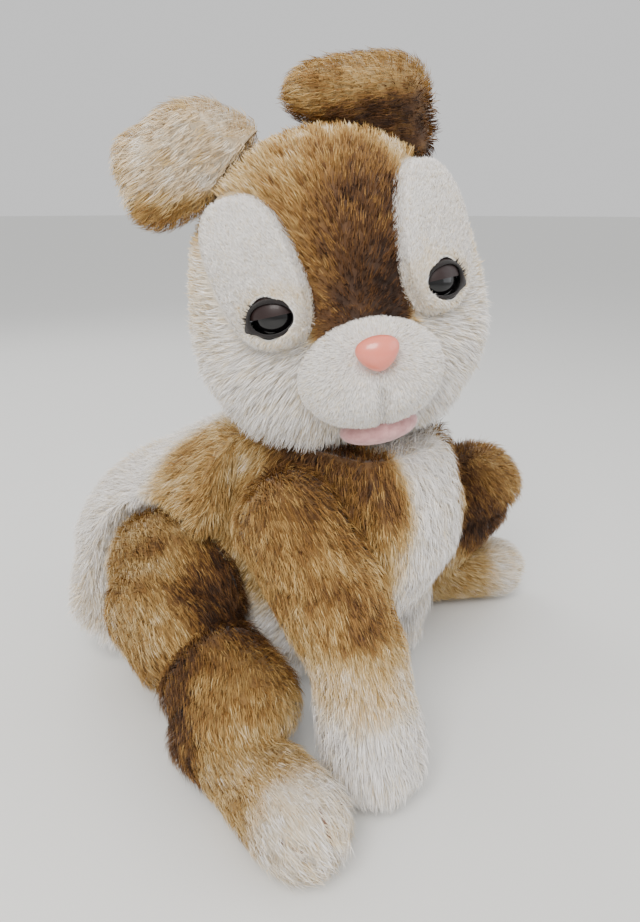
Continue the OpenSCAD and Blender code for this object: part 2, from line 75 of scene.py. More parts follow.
def head_frame():
    """The head's own axes, from its eyelid and ear joints: x to its left, y to its back, z up."""
    x = Vector(joint("blink")["axis"])
    y = Vector(joint("ear_right_flop")["axis"])
    z = x.cross(y)
    turn = Matrix((x, y, z)).transposed()
    origin = Vector(joint("blink")["pos_m"]) - turn @ Vector((0, -EYE_Y, EYE_Z))
    return Matrix.Translation(origin) @ turn.to_4x4()


# Places in the head's own axes, as the CAD has them
EYE_X, EYE_Y, EYE_Z = 45 * MM, 70 * MM, 9 * MM
EYE_R = 15.5 * MM
HEAD_R = np.array((102, 90, 111)) * MM
HEAD = head_frame()
HEAD_NP = np.array(HEAD)
HEAD_INV = np.array(HEAD.inverted())

NECK_Z = joint("head_turn")["pos_m"][2]
HIP_Y, HIP_Z = joint("hip_right")["pos_m"][1:]
CHEST_SIDE = 46.5 * MM
HIP_SIDE = 58.5 * MM
HIP_ROOM = 76 * MM


def to_head(p):
    return p @ HEAD_INV[:3, :3].T + HEAD_INV[:3, 3]


def from_head(p):
    return p @ HEAD_NP[:3, :3].T + HEAD_NP[:3, 3]


def unit(v):
    return v / np.maximum(np.linalg.norm(v, axis=-1, keepdims=True), 1e-9)


def ease(v, lo, hi):
    """0 below lo, 1 above hi, smooth between. lo may be above hi."""
    t = np.clip((v - lo) / (hi - lo), 0, 1)
    return t * t * (3 - 2 * t)


def mix(a, b, t):
    return a + (b - a) * t


class Waves:
    """Smooth noise from -1 to 1: a few sine waves in random directions."""

    def __init__(self, seed, size, n=7):
        r = np.random.default_rng(seed)
        self.k = unit(r.normal(size=(n, 3))) * (2 * pi / size) * r.uniform(0.6, 1.7, (n, 1))
        self.phase = r.uniform(0, 2 * pi, n)

    def __call__(self, p):
        return np.sin(p @ self.k.T + self.phase).sum(1) / len(self.phase) * 2.0


# ---- Materials --------------------------------------------------------------

def srgb(r, g, b):
    linear = (c / 12.92 if c <= 0.04045 else ((c + 0.055) / 1.055) ** 2.4 for c in (r, g, b))
    return tuple(linear) + (1,)


def plain_material(name, color, roughness, **sockets):
    m = bpy.data.materials.new(name)
    m.use_nodes = True
    b = m.node_tree.nodes["Principled BSDF"]
    b.inputs["Base Color"].default_value = color
    b.inputs["Roughness"].default_value = roughness
    for k, v in sockets.items():
        b.inputs[k.replace("_", " ")].default_value = v
    return m


def add_noise_bump(m, scale, strength, distance, detail=4):
    nt = m.node_tree
    b = nt.nodes["Principled BSDF"]
    co = nt.nodes.new("ShaderNodeTexCoord")
    no = nt.nodes.new("ShaderNodeTexNoise")
    no.inputs["Scale"].default_value = scale
    no.inputs["Detail"].default_value = detail
    bu = nt.nodes.new("ShaderNodeBump")
    bu.inputs["Strength"].default_value = strength
    bu.inputs["Distance"].default_value = distance
    nt.links.new(co.outputs["Object"], no.inputs["Vector"])
    nt.links.new(no.outputs["Fac"], bu.inputs["Height"])
    nt.links.new(bu.outputs["Normal"], b.inputs["Normal"])
    return no


def add_color_noise(m, low, high, scale, detail=5):
    """Base colour that wanders between low and high."""
    nt = m.node_tree
    b = nt.nodes["Principled BSDF"]
    co = nt.nodes.new("ShaderNodeTexCoord")
    no = nt.nodes.new("ShaderNodeTexNoise")
    no.inputs["Scale"].default_value = scale
    no.inputs["Detail"].default_value = detail
    ra = nt.nodes.new("ShaderNodeValToRGB")
    ra.color_ramp.elements[0].position = 0.3
    ra.color_ramp.elements[0].color = low
    ra.color_ramp.elements[1].position = 0.7
    ra.color_ramp.elements[1].color = high
    nt.links.new(co.outputs["Object"], no.inputs["Vector"])
    nt.links.new(no.outputs["Fac"], ra.inputs["Fac"])
    nt.links.new(ra.outputs["Color"], b.inputs["Base Color"])


# Fur tones from white to nearly black brown
TONES = [
    (0.93, 0.915, 0.90), (0.91, 0.87, 0.80), (0.87, 0.79, 0.655), (0.79, 0.68, 0.475),
    (0.685, 0.545, 0.32), (0.54, 0.39, 0.20), (0.37, 0.245, 0.135), (0.20, 0.125, 0.075),
]
SHADES = (0.92, 1.0, 1.06)


def fur_materials():
    out = []
    for i, t in enumerate(TONES):
        for j, s in enumerate(SHADES):
            color = srgb(*(min(1, c * s) for c in t))
            m = plain_material(
                f"fur_{i}_{j}", color, 0.62, Sheen_Weight=0.25, Sheen_Roughness=0.5,
                Specular_IOR_Level=0.25)
            m.node_tree.nodes["Principled BSDF"].inputs["Sheen Tint"].default_value = color
            out.append(m)
    return out


FUR = fur_materials()


def tone_color(tone):
    """Linear colour of a tone, which may lie between two steps."""
    table = np.array([srgb(*t)[:3] for t in TONES])
    t = np.clip(tone, 0, len(TONES) - 1.001)
    i = t.astype(int)
    return mix(table[i], table[i + 1], (t - i)[:, None])


def backing_material():
    """Woven backing and the short underfur: the painted tone, broken up by noise."""
    m = plain_material("plush_backing", (0.5, 0.4, 0.3, 1), 0.9, Sheen_Weight=0.35)
    nt = m.node_tree
    b = nt.nodes["Principled BSDF"]
    at = nt.nodes.new("ShaderNodeAttribute")
    at.attribute_name = "tone"
    co = nt.nodes.new("ShaderNodeTexCoord")
    no = nt.nodes.new("ShaderNodeTexNoise")
    no.inputs["Scale"].default_value = 420
    no.inputs["Detail"].default_value = 5
    mp = nt.nodes.new("ShaderNodeMapRange")
    mp.inputs["To Min"].default_value = 0.55
    mp.inputs["To Max"].default_value = 1.05
    mu = nt.nodes.new("ShaderNodeVectorMath")
    mu.operation = "SCALE"
    nt.links.new(co.outputs["Object"], no.inputs["Vector"])
    nt.links.new(no.outputs["Fac"], mp.inputs["Value"])
    nt.links.new(at.outputs["Color"], mu.inputs[0])
    nt.links.new(mp.outputs["Result"], mu.inputs["Scale"])
    nt.links.new(mu.outputs["Vector"], b.inputs["Base Color"])
    bu = nt.nodes.new("ShaderNodeBump")
    bu.inputs["Strength"].default_value = 0.6
    bu.inputs["Distance"].default_value = 0.8 * MM
    nt.links.new(no.outputs["Fac"], bu.inputs["Height"])
    nt.links.new(bu.outputs["Normal"], b.inputs["Normal"])
    return m


BACKING = backing_material()


# ---- Skins ------------------------------------------------------------------

def ball(at, r, turn=None):
    return (at, (r, r, r) if np.isscalar(r) else r, turn)


def limb(points, radii, step=4 * MM):
    """Balls along a path, close enough to merge into one limb."""
    out = []
    for (a, b), (ra, rb) in zip(zip(points, points[1:]), zip(radii, radii[1:])):
        a, b = np.array(a, float), np.array(b, float)
        n = max(2, int(np.linalg.norm(b - a) / step))
        for i in range(n + 1):
            out.append(ball(tuple(mix(a, b, i / n)), mix(ra, rb, i / n)))
    return out


def new_object(name, mesh):
    o = bpy.data.objects.new(name, mesh)
    bpy.context.scene.collection.objects.link(o)
    return o


def stuffed(name, balls, voxel=3.2 * MM, smooth=14, shape=None, place=None):
    """One closed, smoothly blended skin round the balls. shape moves its points at the end."""
    bm = bmesh.new()
    for at, r, turn in balls:
        m = Matrix.Translation(at) @ (turn or Matrix()).to_4x4() @ Matrix.Diagonal((*r, 1))
        bmesh.ops.create_icosphere(bm, subdivisions=3, radius=1, matrix=m)
    mesh = bpy.data.meshes.new(name)
    bm.to_mesh(mesh)
    bm.free()
    if place is not None:
        mesh.transform(place)
    o = new_object(name, mesh)
    re = o.modifiers.new("remesh", "REMESH")
    re.mode, re.voxel_size = "VOXEL", voxel
    sm = o.modifiers.new("smooth", "SMOOTH")
    sm.factor, sm.iterations = 0.5, smooth
    return settle(o, shape)


def settle(o, shape=None):
    """Applies the modifiers, then moves the points by shape(points, normals)."""
    done = bpy.data.meshes.new_from_object(o.evaluated_get(bpy.context.evaluated_depsgraph_get()))
    o.modifiers.clear()
    old, o.data = o.data, done
    bpy.data.meshes.remove(old)
    done.name = o.name
    if shape:
        moved = shape(points_of(done), normals_of(done))
        done.vertices.foreach_set("co", moved.astype(np.float32).ravel())
    done.shade_smooth()
    done.update()
    return o


def points_of(mesh):
    p = np.empty(len(mesh.vertices) * 3, np.float32)
    mesh.vertices.foreach_get("co", p)
    return p.reshape(-1, 3).astype(float)


def normals_of(mesh):
    n = np.empty(len(mesh.vertices) * 3, np.float32)
    mesh.vertex_normals.foreach_get("vector", n)
    return n.reshape(-1, 3).astype(float)


def paint(o, tone):
    """Stores the tone's colour on the skin and gives it the backing material."""
    a = o.data.attributes.new("tone", "FLOAT_COLOR", "POINT")
    c = np.ones((len(o.data.vertices), 4), np.float32)
    c[:, :3] = tone_color(tone(points_of(o.data)))
    a.data.foreach_set("color", c.ravel())
    o.data.materials.append(BACKING)


# ---- Fur --------------------------------------------------------------------

def spread(mesh, n, rng):
    """n points on the mesh, evenly by area, and the smooth normals there."""
    mesh.calc_loop_triangles()
    t = np.empty(len(mesh.loop_triangles) * 3, np.int32)
    mesh.loop_triangles.foreach_get("vertices", t)
    t = t.reshape(-1, 3)
    p, nor = points_of(mesh), normals_of(mesh)
    a, b, c = p[t[:, 0]], p[t[:, 1]], p[t[:, 2]]
    area = np.linalg.norm(np.cross(b - a, c - a), axis=1)
    i = rng.choice(len(t), n, p=area / area.sum())
    u, v = rng.random((2, n, 1))
    u, v = np.where(u + v > 1, 1 - u, u), np.where(u + v > 1, 1 - v, v)
    w = 1 - u - v
    at = w * a[i] + u * b[i] + v * c[i]
    return at, unit(w * nor[t[i, 0]] + u * nor[t[i, 1]] + v * nor[t[i, 2]])


def clumps(p, size):
    """The clump that each point belongs to, from a warped grid."""
    warp = np.stack([Waves(SEED + k, size * 5)(p) for k in range(3)], 1) * size * 0.6
    cell = np.floor((p + warp) / size).astype(np.int64)
    key = cell @ np.array((73856093, 19349663, 83492791))
    return np.unique(key, return_inverse=True)[1].ravel()


def gather(values, group, n):
    count = np.maximum(np.bincount(group, minlength=n), 1)
    return np.stack([np.bincount(group, values[:, k], n) / count for k in range(3)], 1)


def fur(name, skin, per_mm2, length, flow, tone, keep=None, lean=(34, 62), width=STRAND_W,
        clump=CLUMP, pull=CLUMP_PULL, tip_tone=-0.35, seed=1, floor=0.3 * MM):
    """Grows strands on a skin: a root blade and a tip each, coloured by tone.

    length, flow and tone take points; keep says which points grow a strand."""
    rng = np.random.default_rng(SEED * 1000 + seed)
    mesh = skin.data
    area = sum(f.area for f in mesh.polygons) / MM ** 2
    p, n = spread(mesh, int(area * per_mm2 * DENSITY), rng)
    if keep is not None:
        ok = keep(p)
        p, n = p[ok], n[ok]
    m = len(p)
    f = flow(p)
    f = unit(f - (f * n).sum(1, keepdims=True) * n + rng.normal(0, 0.16, (m, 3)))
    ln = length(p) * rng.uniform(0.7, 1.12, m)
    jig = rng.normal(0, 7, m)
    a1, a2 = np.radians(lean[0] + jig), np.radians(lean[1] + jig)
    mid = p + (ln * 0.5)[:, None] * (n * np.cos(a1)[:, None] + f * np.sin(a1)[:, None])
    tip = p + ln[:, None] * (n * np.cos(a2)[:, None] + f * np.sin(a2)[:, None])
    g = clumps(p, clump)
    k = g.max() + 1
    gather_tip = gather(tip, g, k)[g]
    pull = pull * rng.uniform(0.5, 1.3, m)[:, None]
    tip = mix(tip, gather_tip, pull)
    mid = mix(mid, gather(mid, g, k)[g], pull * 0.45)
    root = p - n * 0.6 * MM
    side = unit(np.cross(tip - root, n))
    roll = rng.normal(0, 0.5, m)[:, None]
    side = unit(side * np.cos(roll) + np.cross(unit(tip - root), side) * np.sin(roll))
    w = (width * rng.uniform(0.7, 1.25, m))[:, None] * side
    v = np.stack([root - w / 2, root + w / 2, mid - w * 0.42, mid + w * 0.42, tip], 1)
    v[:, :, 2] = np.maximum(v[:, :, 2], floor)
    base = tone(p) + rng.normal(0, 0.34, m) + rng.normal(0, 0.32, k)[g]
    shade = np.clip(rng.normal(1, 0.75, m).round(), 0, 2)
    palette = np.stack([base + 0.25, base + tip_tone], 1).round()
    palette = np.clip(palette, 0, len(TONES) - 1) * len(SHADES) + shade[:, None]
    o = blades(name, v, palette.astype(np.int32))
    for mat in FUR:
        o.data.materials.append(mat)
    return o


def blades(name, v, palette):
    """A mesh of one quad and one triangle for each strand."""
    m = len(v)
    mesh = bpy.data.meshes.new(name)
    mesh.vertices.add(m * 5)
    mesh.vertices.foreach_set("co", v.astype(np.float32).ravel())
    loops = (np.arange(m, dtype=np.int32)[:, None] * 5 + np.array((0, 1, 3, 2, 2, 3, 4))).ravel()
    mesh.loops.add(m * 7)
    mesh.loops.foreach_set("vertex_index", loops)
    mesh.polygons.add(m * 2)
    start = (np.arange(m, dtype=np.int32)[:, None] * 7 + np.array((0, 4))).ravel()
    mesh.polygons.foreach_set("loop_start", start)
    mesh.polygons.foreach_set("material_index", palette.ravel())
    mesh.update(calc_edges=True)
    mesh.shade_smooth()
    return new_object(name, mesh)


# ---- Stitches ----------------------------------------------------------------

def line_distance(p, line):
    """Distance from each point to a polyline."""
    best = np.full(len(p), 1e9)
    for a, b in zip(line, line[1:]):
        a, b = np.array(a, float), np.array(b, float)
        d = b - a
        t = np.clip((p - a) @ d / (d @ d), 0, 1)
        best = np.minimum(best, np.linalg.norm(p - (a + t[:, None] * d), axis=1))
    return best


def near_any(p, lines, reach):
    """1 on a line, fading to 0 at reach."""
    if not lines:
        return np.zeros(len(p))
    d = np.min([line_distance(p, s) for s in lines], axis=0)
    return 1 - ease(d, 0, reach)


def toes(tip, back, side, gap, rise, count=3):
    """Stitch lines over the end of a paw, from its underside up and back."""
    tip, back, side, rise = (np.array(v, float) for v in (tip, back, side, rise))
    out = []
    for i in range(count):
        s = side * gap * (i - (count - 1) / 2)
        out.append([tip + s * 0.9 - rise * 0.7, tip + s, tip + s + rise * 0.8 + back * 0.45,
                    tip + s * 1.1 + rise + back])
    return out


def threads(name, lines, skin, body):
    """Stitches of thick thread, laid on the skin along the lines."""
    cu = bpy.data.curves.new(name, "CURVE")
    cu.dimensions = "3D"
    cu.bevel_depth = 0.75 * MM
    cu.bevel_resolution = 2
    for line in lines:
        pts = []
        for a, b in zip(line, line[1:]):
            for k in range(5):
                pts.append(Vector(mix(np.array(a), np.array(b), k / 5)))
        pts.append(Vector(line[-1]))
        on = []
        for q in pts:
            _, near, nor, _ = skin.closest_point_on_mesh(q)
            on.append(near + nor * 0.5 * MM)
        sp = cu.splines.new("POLY")
        sp.points.add(len(on) - 1)
        for pt, q in zip(sp.points, on):
            pt.co = (*q, 1)
    o = new_object(name, cu)
    cu.materials.append(THREAD)
    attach(o, body)
    return o


# ---- Body shapes (row frame, metres) -----------------------------------------

INSET = 6 * MM
RUMP = np.array((0, 34, 95)) * MM
CHEST = np.array((0, -120, 176)) * MM


def mm(*v):
    return tuple(c * MM for c in v)


def less(r):
    return tuple(max(c * MM - INSET, 4 * MM) for c in r)


def torso_shape(p, n):
    q = p + n * (Waves(11, 90 * MM)(p) * 2.4 * MM + Waves(12, 35 * MM)(p) * 1.0 * MM)[:, None]
    wide = np.full(len(q), 0.2)
    wide = np.minimum(wide, mix(CHEST_SIDE, 0.11, ease(q[:, 1], -58 * MM, -42 * MM)))
    hip = np.hypot(q[:, 1] - HIP_Y, q[:, 2] - HIP_Z)
    wide = np.minimum(wide, mix(HIP_SIDE, 0.11, ease(hip, HIP_ROOM, HIP_ROOM + 14 * MM)))
    q[:, 0] = np.clip(q[:, 0], -wide, wide)
    q[:, 2] = np.clip(q[:, 2], 0.3 * MM, NECK_Z - 1.5 * MM)
    return q


def limb_shape(seams, creases, seed, inner, side):
    """Small lumps, grooves at stitches and creases, a flat inner face, nothing under the floor."""
    def shape(p, n):
        push = Waves(seed, 60 * MM)(p) * 1.5
        push = push - near_any(p, seams, 9 * MM) * 4 - near_any(p, creases, 15 * MM) * 7
        q = p + n * (push * MM)[:, None]
        q[:, 0] = side * np.maximum(side * q[:, 0], inner)
        q[:, 2] = np.maximum(q[:, 2], 0.3 * MM)
        return q
    return shape


def ring(at, axis, radius, parts=16):
    """A closed polyline round an axis."""
    axis = unit(np.array(axis, float))
    u = unit(np.cross(axis, (0.1, 0.2, 1)))
    v = np.cross(axis, u)
    angles = [2 * pi * i / parts for i in range(parts + 1)]
    return [np.array(at) + radius * (u * cos(a) + v * sin(a)) for a in angles]


# ---- Tones -------------------------------------------------------------------

big, mid, small = Waves(21, 110 * MM), Waves(22, 42 * MM), Waves(23, 18 * MM)


def torso_tone(p):
    x, y, z = p.T / MM
    t = 0.45 + 0.3 * big(p)
    # The tan coat comes down from the neck over the shoulders and flanks
    flank = ease(np.abs(x), 24, 50) * ease(y, 28, -12) * ease(z, 80, 120)
    t = mix(t, 3.8 + 0.7 * mid(p), flank)
    # Dark collar under the chin, on both sides of the white bib
    collar = ease(np.abs(x + 4), 16, 34) * ease(y, -60, -110) * ease(z, 165, 205)
    t = mix(t, 6.0 + 0.6 * small(p), collar * 0.85)
    bib = ease(np.abs(x - 2), 34, 20) * ease(y, -90, -130)
    t = mix(t, 0.15, bib)
    return t


def front_tone(side):
    def tone(p):
        x, y, z = p.T / MM
        t = 4.5 + 0.6 * mid(p) + 0.35 * small(p)
        dark = ease(z, 165, 205) * ease(y, -196, -150) * ease(side * x, 100, 60)
        t = mix(t, 6.0, dark * 0.75)
        t = mix(t, 2.4 + 0.4 * mid(p), ease(z, 136, 102))
        t = mix(t, 0.25 + 0.25 * small(p), ease(z, 96, 66))
        return t
    return tone


def hind_tone(side, knee, heel, toe):
    knee, heel, toe = (np.array(v, float) for v in (knee, heel, toe))
    along = unit(toe - heel)
    foot = np.linalg.norm(toe - heel)
    # The direction the shank's painted light comes from
    toward_light = unit(np.array((side * 0.35, -0.65, 0.6)))

    def tone(p):
        x, y, z = p.T / MM
        t = 4.0 + 0.8 * mid(p) + 0.35 * small(p)
        # Painted shade along the front of the thigh, in the crease where it meets the belly
        belly_crease_shade = ease(y, -24, -56) * ease(side * x, 124, 96) * ease(z, 50, 80)
        t = mix(t, 6.5 + 0.4 * small(p), belly_crease_shade)
        # Painted light and shade on the shank: golden where it faces up towards the light, painted
        # shade round its rim
        d = np.linalg.norm(p - knee, axis=1) / MM
        rim = ease(unit(p - knee) @ toward_light, 0.75, 0.1)
        t = mix(t, 4.6 + 1.6 * rim + 0.5 * small(p), ease(d, 62, 48))
        # The foot: tan above, cream then white at the toes
        reach = (p - heel) @ along / foot
        low = ease(z, 76, 62) * ease(reach, 0.15, 0.35)
        t = mix(t, 3.4 + 0.5 * mid(p), low)
        t = mix(t, 1.0 + 0.4 * small(p), ease(reach, 0.7, 0.98) * low)
        # The back of the haunch is as pale as the rump
        return mix(t, 1.3, ease(y, 26, 54))
    return tone


def head_tone(p):
    q = to_head(p)
    x, y, z = q.T / MM
    t = np.full(len(q), 0.35) + 0.25 * mid(p)
    # Crown and back of the head
    crown = ease(z - 0.25 * np.abs(x) + 0.35 * np.maximum(y, 0), 12, 52)
    t = mix(t, 3.0 + 0.6 * mid(p) + 0.5 * small(p), crown)
    # A cream band down each side of the face
    band = ease(np.abs(x), 74, 88) * ease(z, -30, 30) * ease(y, 30, -10)
    t = mix(t, 2.0, band * 0.8)
    # The blaze between the eyes: golden on its right edge, dark above the muzzle
    wide = 30 + 0.12 * np.maximum(z, 0)
    blaze = ease(np.abs(x), wide + 5, wide - 5) * ease(z, -16, -6) * ease(y, -20, -50)
    shade = 4.9 + 1.2 * ease(x, -24, 8) + 0.8 * ease(z, 50, 8) - 1.5 * ease(z, 60, 96)
    t = mix(t, shade + 0.45 * small(p), blaze)
    # Dark streaks over the crown towards the left ear
    streak = ease(z, 78, 98) * ease(x, -50, 10) * (0.5 + 0.5 * small(p))
    return mix(t, 5.6, np.clip(streak, 0, 1) * 0.8)


def ear_tone(base, under, low, high):
    """The ear's tone, with painted shade on its underside: darker by under below the height low."""
    def tone(p):
        z = to_head(p)[:, 2] / MM
        return base + 0.5 * mid(p) + 0.5 * small(p) + under * ease(z, high, low)
    return tone


# ---- Flows -------------------------------------------------------------------

def head_flow(p):
    q = to_head(p)
    nose = np.array((0, -100, -20)) * MM
    out = unit(q - nose)
    down = ease(q[:, 2] / MM, 10, -40)[:, None]
    f = out + np.array((0, 0.6, 0)) + down * np.array((0, 0.2, -1.1))
    f[:, 0] += np.sign(q[:, 0]) * 0.2
    return unit(f) @ HEAD_NP[:3, :3].T


def torso_flow(p):
    y = p[:, 1:2] / MM
    f = np.array((0, 0.55, -0.85)) + ease(y, -90, -150) * np.array((0, -0.75, -0.2))
    return f + np.stack([Waves(31, 80 * MM)(p), 0 * p[:, 0], 0 * p[:, 0]], 1) * 0.25


def along_flow(points):
    """Down a limb: the direction of the nearest part of its path."""
    pts = [np.array(q, float) for q in points]

    def flow(p):
        spans = list(zip(pts, pts[1:]))
        w = np.stack([1 / (line_distance(p, span) + 1 * MM) ** 4 for span in spans], 1)
        d = np.array([unit(b - a) for a, b in spans])
        f = (w / w.sum(1, keepdims=True)) @ d
        return f + np.array((0, 0, -0.25))
    return flow


# ---- Small materials ---------------------------------------------------------

THREAD = plain_material("thread", srgb(0.52, 0.40, 0.34), 0.8, Sheen_Weight=0.3)
add_noise_bump(THREAD, 900, 0.5, 0.3 * MM)


def felt(name, low, high, sheen=0.5):
    m = plain_material(name, low, 0.95, Sheen_Weight=sheen, Sheen_Roughness=0.6)
    add_color_noise(m, low, high, 260)
    add_noise_bump(m, 700, 0.8, 0.5 * MM, 6)
    return m


BLACK_FELT = felt("black_felt", srgb(0.06, 0.045, 0.05), srgb(0.11, 0.09, 0.095), 0.1)
RIM_FELT = felt("rim_felt", srgb(0.045, 0.03, 0.03), srgb(0.10, 0.07, 0.068), 0.1)
PINK_FELT = felt("pink_felt", srgb(0.72, 0.50, 0.50), srgb(0.83, 0.62, 0.61))


def moulded(name, color, roughness, grain=900, depth=0.05, coat=0.0, **sockets):
    """Injection-moulded plastic: a fine grain and a roughness that wanders."""
    m = plain_material(name, color, roughness, Coat_Weight=coat, Coat_Roughness=0.08, **sockets)
    no = add_noise_bump(m, grain, 0.5, depth * MM, 3)
    nt = m.node_tree
    mp = nt.nodes.new("ShaderNodeMapRange")
    mp.inputs["To Min"].default_value = max(0.02, roughness - 0.07)
    mp.inputs["To Max"].default_value = min(1, roughness + 0.07)
    nt.links.new(no.outputs["Fac"], mp.inputs["Value"])
    nt.links.new(mp.outputs["Result"], nt.nodes["Principled BSDF"].inputs["Roughness"])
    return m


def metal(name, color):
    m = plain_material(name, color, 0.32, Metallic=1)
    no = add_noise_bump(m, 500, 0.4, 0.03 * MM, 5)
    no.inputs["Distortion"].default_value = 1.5
    return m


def wrapped_cell(name):
    """Heat-shrink sleeve: amber with a darker mottle under a gloss coat."""
    m = moulded(name, srgb(0.62, 0.46, 0.20), 0.3, 120, 0.05, 0.6)
    add_color_noise(m, srgb(0.56, 0.40, 0.16), srgb(0.68, 0.52, 0.24), 60)
    return m


def circuit(name, low, high, roughness):
    m = moulded(name, low, roughness, 300, 0.05)
    add_color_noise(m, low, high, 140, 8)
    return m


FINISHES = {
    "dark_plastic": moulded("fine_grain_charcoal", srgb(0.16, 0.16, 0.17), 0.55, 1400, 0.12),
    "grey_plastic": moulded("satin_grey", srgb(0.55, 0.57, 0.59), 0.42),
    "ivory_plastic": moulded("satin_ivory", srgb(0.86, 0.84, 0.78), 0.4),
    "red_plastic": moulded("satin_red", srgb(0.68, 0.18, 0.15), 0.4),
    "lid_plastic": moulded("eyelid_brown", srgb(0.15, 0.10, 0.095), 0.45, 500, 0.04, 0.1,
                           Specular_IOR_Level=0.3),
    "eye_gloss": moulded("eye_black", srgb(0.03, 0.025, 0.03), 0.12, 200, 0.004, 0.3,
                         Specular_IOR_Level=0.35),
    "nose_plastic": moulded("nose_pink", srgb(0.90, 0.50, 0.42), 0.3, 260, 0.02, 0.5,
                            Subsurface_Weight=0.15, Subsurface_Scale=2 * MM),
    "steel": metal("zinc_plate", srgb(0.72, 0.73, 0.75)),
    "cell_jacket": wrapped_cell("cell_sleeve"),
    "board_green": circuit("solder_mask", srgb(0.05, 0.24, 0.13), srgb(0.09, 0.33, 0.18), 0.35),
    "board_black": circuit("component_black", srgb(0.06, 0.06, 0.07), srgb(0.11, 0.11, 0.12), 0.5),
    "pink_felt": PINK_FELT,
    "cream_plush": BACKING, "tan_plush": BACKING, "white_plush": BACKING,
}

for node in frame["nodes"].values():
    slot_name = node.data.materials[0].name
    node.data.materials.clear()
    node.data.materials.append(FINISHES[slot_name])


# ---- Torso and tail ----------------------------------------------------------

def hulled(name, balls, voxel, smooth, shape):
    """A smooth skin round the convex hull of the balls."""
    bm = bmesh.new()
    for at, r, _ in balls:
        m = Matrix.Translation(at) @ Matrix.Diagonal((*r, 1))
        bmesh.ops.create_icosphere(bm, subdivisions=4, radius=1, matrix=m)
    hull = bmesh.ops.convex_hull(bm, input=bm.verts, use_existing_faces=False)
    inside = hull["geom_interior"] + hull["geom_unused"]
    inner = {g for g in inside if isinstance(g, bmesh.types.BMVert)}
    bmesh.ops.delete(bm, geom=list(inner), context="VERTS")
    mesh = bpy.data.meshes.new(name)
    bm.to_mesh(mesh)
    bm.free()
    o = new_object(name, mesh)
    re = o.modifiers.new("remesh", "REMESH")
    re.mode, re.voxel_size = "VOXEL", voxel
    sm = o.modifiers.new("smooth", "SMOOTH")
    sm.factor, sm.iterations = 0.5, smooth
    return settle(o, shape)


def finish_skin(o, body, nodes, tone):
    paint(o, tone)
    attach(o, body)
    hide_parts(*nodes)
    return o


def clear_of(balls, grow):
    """Says which points lie outside all the balls, grown a little."""
    at = np.array([b[0] for b in balls])
    r = np.array([b[1] for b in balls]) + grow

    def outside(p):
        ok = np.ones(len(p), bool)
        for a, s in zip(at, r):
            ok &= (((p - a) / s) ** 2).sum(1) > 1
        return ok
    return outside


# Limb paths: (centre line, radii)
FRONT = {
    "right": ([mm(-64, -122, 178), mm(-65, -155, 142), mm(-68, -180, 100), mm(-70, -196, 34)],
              less((42, 42, 35, 34))),
    "left": ([mm(64, -122, 178), mm(65, -124, 142), mm(68, -122, 100), mm(70, -115, 34)],
             less((42, 42, 35, 34))),
}
HIND = {
    "right": ([mm(-92, -17, 88), mm(-108, -110, 54), mm(-122, -94, 32), mm(-142, -195, 32)],
              less((46, 44, 32, 32))),
    "left": ([mm(92, -17, 88), mm(190, -134, 128), mm(162, -84, 32), mm(222, -146, 32)],
             less((46, 44, 32, 32))),
}
SIDE = {"right": -1, "left": 1}

torso = hulled("torso_skin", [
    (tuple(RUMP), less((108, 112, 92)), None), (tuple(CHEST), less((84, 86, 96)), None),
    (mm(0, 40, 58), less((120, 116, 56)), None), (mm(0, 0, 4), mm(72, 72, 3), None)],
    3.4 * MM, 10, torso_shape)
finish_skin(torso, "torso", ["torso_plush"], torso_tone)

tail = stuffed("tail_skin", [ball(mm(0, 160, 58), 19 * MM), ball(mm(0, 140, 60), 15 * MM)])
finish_skin(tail, "torso", ["tail"], lambda p: 0.6 + 0.3 * small(p))

front_balls = {s: limb(*FRONT[s]) for s in FRONT}
hind_balls = {}
for s, (path, radii) in HIND.items():
    haunch = ball(mm(SIDE[s] * 70, -5, 88), less((44, 72, 72)))
    hind_balls[s] = limb(path, radii) + [haunch]

legs_out = [b for group in (front_balls, hind_balls) for balls in group.values() for b in balls]
outside_legs = clear_of(legs_out, -6 * MM)


def torso_keep(front):
    def keep(p):
        x, y, z = p.T
        plate = (z < 5 * MM) & (np.abs(x) < 52 * MM) & (np.abs(y) < 52 * MM)
        top = (z > NECK_Z - 3 * MM) & (np.hypot(x, y + 0.108) < 36 * MM)
        return ~plate & ~top & outside_legs(p) & ((y < -35 * MM) == front)
    return keep


def torso_length(p):
    """Longest over the rump."""
    return mix(12.5, 15.5, ease(p[:, 1] / MM, -10, 50)) * MM


for part, front in (("chest", True), ("rump", False)):
    o = fur(f"fur_{part}", torso, 0.55, torso_length, torso_flow, torso_tone,
            torso_keep(front), seed=2 + front)
    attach(o, "torso")
o = fur("fur_tail", tail, 0.5, lambda p: np.full(len(p), 11 * MM),
        lambda p: p - np.array(mm(0, 130, 80)), lambda p: 0.6 + 0.3 * small(p), seed=4,
        lean=(20, 45))
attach(o, "torso")


# ---- Legs ----------------------------------------------------------------------

def leg(name, side, balls, path, tone, seam, creases, length, seed, inner):
    body = f"{name}_{side}"
    # Painted shade in the creases: the tone darkens near them
    crease_shaded_tone = lambda p: tone(p) + 1.1 * near_any(p, creases, 13 * MM)
    skin = stuffed(f"{body}_skin", balls, smooth=8,
                   shape=limb_shape(seam, creases, seed, inner, SIDE[side]))
    finish_skin(skin, body, [f"{body}_plush"], crease_shaded_tone)
    short = lambda p: length(p) * (1 - 0.72 * near_any(p, seam, 6 * MM)
                                   - 0.25 * near_any(p, creases, 10 * MM))
    o = fur(f"fur_{body}", skin, 0.62, short, along_flow(path), crease_shaded_tone, seed=seed)
    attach(o, body)
    threads(f"stitches_{body}", seam, skin, body)


